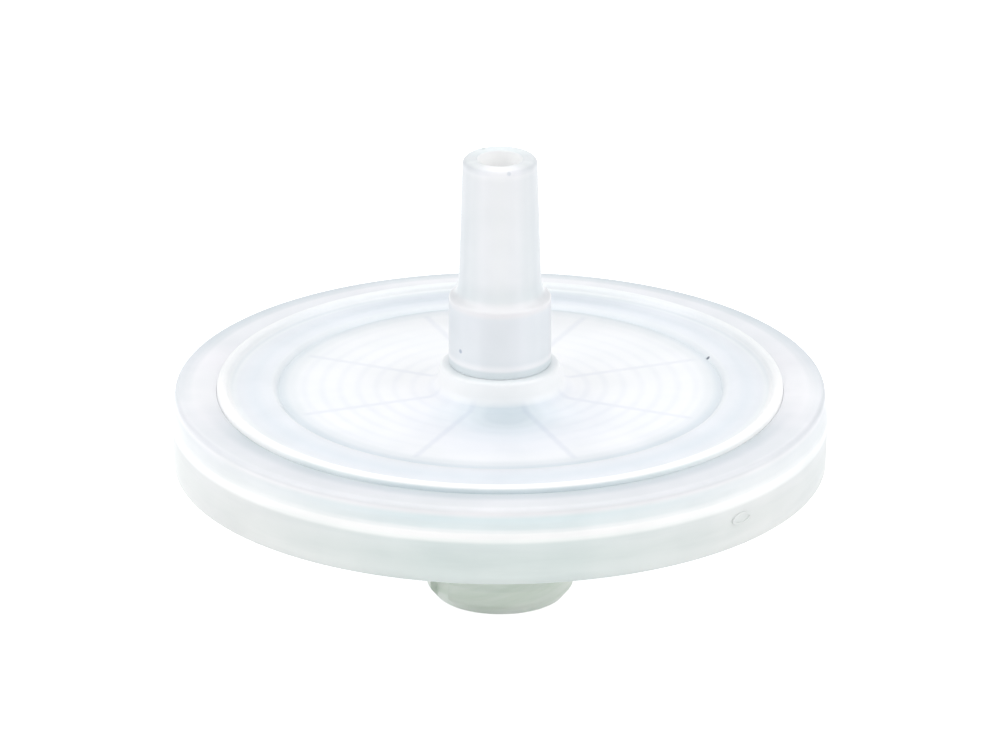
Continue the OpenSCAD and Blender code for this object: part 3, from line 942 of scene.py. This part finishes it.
def cast_membrane(name):
    """Cast microporous polyethersulfone: a matt white film that the rings press on.

    The eye gets dead white without a sheen, with a cool painted shade in the grooves between the rings."""
    material, tree, output = new_material(name)
    place = add_node(tree, "ShaderNodeTexCoord").outputs["Object"]
    radius = radius_at(tree, place)
    share = add_node(tree, "ShaderNodeMapRange", {"From Min": -1.0}, {"Value": ring_wave(tree, radius)})
    # Painted shade: cool grey-blue in the grooves between the rings, white over the rings
    painted_groove_shade = add_node(tree, "ShaderNodeValToRGB", links={"Fac": share.outputs[0]},
                       stops=[(0.0, GROOVE_SHADE), (0.75, "FFFFFF")])
    inside = add_node(tree, "ShaderNodeMapRange",
                      {"From Min": (CHAMBER_R + 0.1) * MM, "From Max": (CHAMBER_R - 0.3) * MM},
                      {"Value": radius})
    colour = add_node(tree, "ShaderNodeMix", {**BLEND, 6: linear_from_hex(BORDER_WHITE)},
                      {0: inside.outputs[0], 7: painted_groove_shade.outputs["Color"]})
    pores = add_node(tree, "ShaderNodeTexNoise", {"Scale": 1 / (PORE * MM), "Detail": 4.0}, {"Vector": place})
    bump = add_node(tree, "ShaderNodeBump", {"Strength": 0.2, "Distance": PORE_DEPTH * MM},
                    {"Height": pores.outputs["Fac"]})
    shader = add_node(tree, "ShaderNodeBsdfPrincipled", {"Roughness": 0.9, "Specular IOR Level": 0.2},
                      {"Base Color": colour.outputs[2], "Normal": bump.outputs["Normal"]})
    tree.links.new(shader.outputs["BSDF"], output.inputs["Surface"])
    return material


# ---------------------------------------------------------------- setting

def backdrop_switch(tree):
    """1 for rays that show the backdrop: from the camera, mirrored or seen through plastic."""
    path = add_node(tree, "ShaderNodeLightPath")
    first = add_node(tree, "ShaderNodeMath", {"operation": "MAXIMUM"},
                     {0: path.outputs["Is Camera Ray"], 1: path.outputs["Is Glossy Ray"]})
    return add_node(tree, "ShaderNodeMath", {"operation": "MAXIMUM"},
                    {0: first.outputs[0], 1: path.outputs["Is Transmission Ray"]}).outputs[0]


def make_floor():
    """A white bench top with the filter's soft shadow on it, clear from below."""
    bpy.ops.object.select_all(action="DESELECT")
    bpy.ops.mesh.primitive_plane_add(size=BENCH_SIDE)
    floor = bpy.context.object
    floor.name = "bench_top"
    material, tree, output = new_material("white laminate")
    shader = add_node(tree, "ShaderNodeBsdfDiffuse", {"Color": linear_from_hex(BENCH_WHITE)})
    lift = add_node(tree, "ShaderNodeMath", {"operation": "MULTIPLY", 1: BENCH_LIFT},
                    {0: backdrop_switch(tree)})
    glow = add_node(tree, "ShaderNodeEmission", {"Color": (1, 1, 1, 1)}, {"Strength": lift.outputs[0]})
    top = add_node(tree, "ShaderNodeAddShader", links={0: shader.outputs[0], 1: glow.outputs[0]})
    clear = add_node(tree, "ShaderNodeBsdfTransparent")
    side = add_node(tree, "ShaderNodeNewGeometry")
    both = add_node(tree, "ShaderNodeMixShader",
                    links={0: side.outputs["Backfacing"], 1: top.outputs[0], 2: clear.outputs[0]})
    tree.links.new(both.outputs[0], output.inputs["Surface"])
    floor.data.materials.append(material)


def make_world():
    """White to the eye, and a plain even light on the filter."""
    world = bpy.data.worlds.new("studio")
    bpy.context.scene.world = world
    world.use_nodes = True
    tree = world.node_tree
    tree.nodes.clear()
    output = tree.nodes.new("ShaderNodeOutputWorld")
    seen = add_node(tree, "ShaderNodeBackground", {"Color": (1, 1, 1, 1), "Strength": 1.0})
    light = add_node(tree, "ShaderNodeBackground", {"Color": (1, 1, 1, 1), "Strength": WORLD_LIGHT})
    both = add_node(tree, "ShaderNodeMixShader",
                    links={0: backdrop_switch(tree), 1: light.outputs[0], 2: seen.outputs[0]})
    tree.links.new(both.outputs[0], output.inputs["Surface"])


def add_softbox(name, place, power, aim):
    """A square area lamp that faces a point."""
    data = bpy.data.lights.new(name, "AREA")
    data.size = SOFTBOX_SIDE
    data.energy = power
    lamp = bpy.data.objects.new(name, data)
    bpy.context.scene.collection.objects.link(lamp)
    lamp.location = place
    lamp.rotation_euler = (aim - Vector(place)).to_track_quat("-Z", "Y").to_euler()


def make_camera(aim):
    """Long-lens camera at the viewing angle."""
    data = bpy.data.cameras.new("camera")
    data.sensor_width = SENSOR_WIDTH
    data.lens = SENSOR_WIDTH * CAMERA_DISTANCE / VIEW_WIDTH
    data.clip_start = CLIP_START
    camera = bpy.data.objects.new("camera", data)
    bpy.context.scene.collection.objects.link(camera)
    back = Vector((0, -math.cos(VIEW_ELEVATION), math.sin(VIEW_ELEVATION)))
    camera.location = aim + CAMERA_DISTANCE * back
    camera.rotation_euler = (math.pi / 2 - VIEW_ELEVATION, 0, 0)
    bpy.context.scene.camera = camera


def set_material(piece, material):
    """Gives a piece its finish."""
    piece.data.materials.clear()
    piece.data.materials.append(material)


outlet = make_outlet_moulding(RIM_TOP)
inlet = make_inlet_moulding(RIM_BOTTOM)
rim = make_rim(RIM_BOTTOM, RIM_TOP)
film = make_membrane(RIM_BOTTOM, RIM_TOP)

outlet_pp = moulded_polypropylene(
    "moulded natural polypropylene, outlet side", outlet_tone, clearness=0.05, roughness=0.3)
inlet_pp = moulded_polypropylene(
    "moulded natural polypropylene, inlet side", inlet_tone, clearness=0.08, roughness=0.32)
rim_pp = moulded_polypropylene(
    "overmoulded natural polypropylene", rim_tone, clearness=0.05, roughness=0.35)
membrane_pes = cast_membrane("cast polyethersulfone membrane")
finishes = {
    "outlet_housing": outlet_pp,
    "outlet_cone": outlet_pp,
    "inlet_housing": inlet_pp,
    "inlet_hub": inlet_pp,
    "rim_ring": rim_pp,
    "membrane": membrane_pes,
}
for name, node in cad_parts.items():
    set_material(node, finishes[name])
set_material(outlet, outlet_pp)
set_material(inlet, inlet_pp)
set_material(rim, rim_pp)
set_material(film, membrane_pes)

low, high = (Vector(corner) for corner in cad_box)
middle = (low + high) / 2
make_floor()
make_world()
for name, place, power in SOFTBOXES:
    add_softbox(name, place, power, middle)
make_camera(middle)

scene = bpy.context.scene
scene.view_settings.view_transform = "Standard"
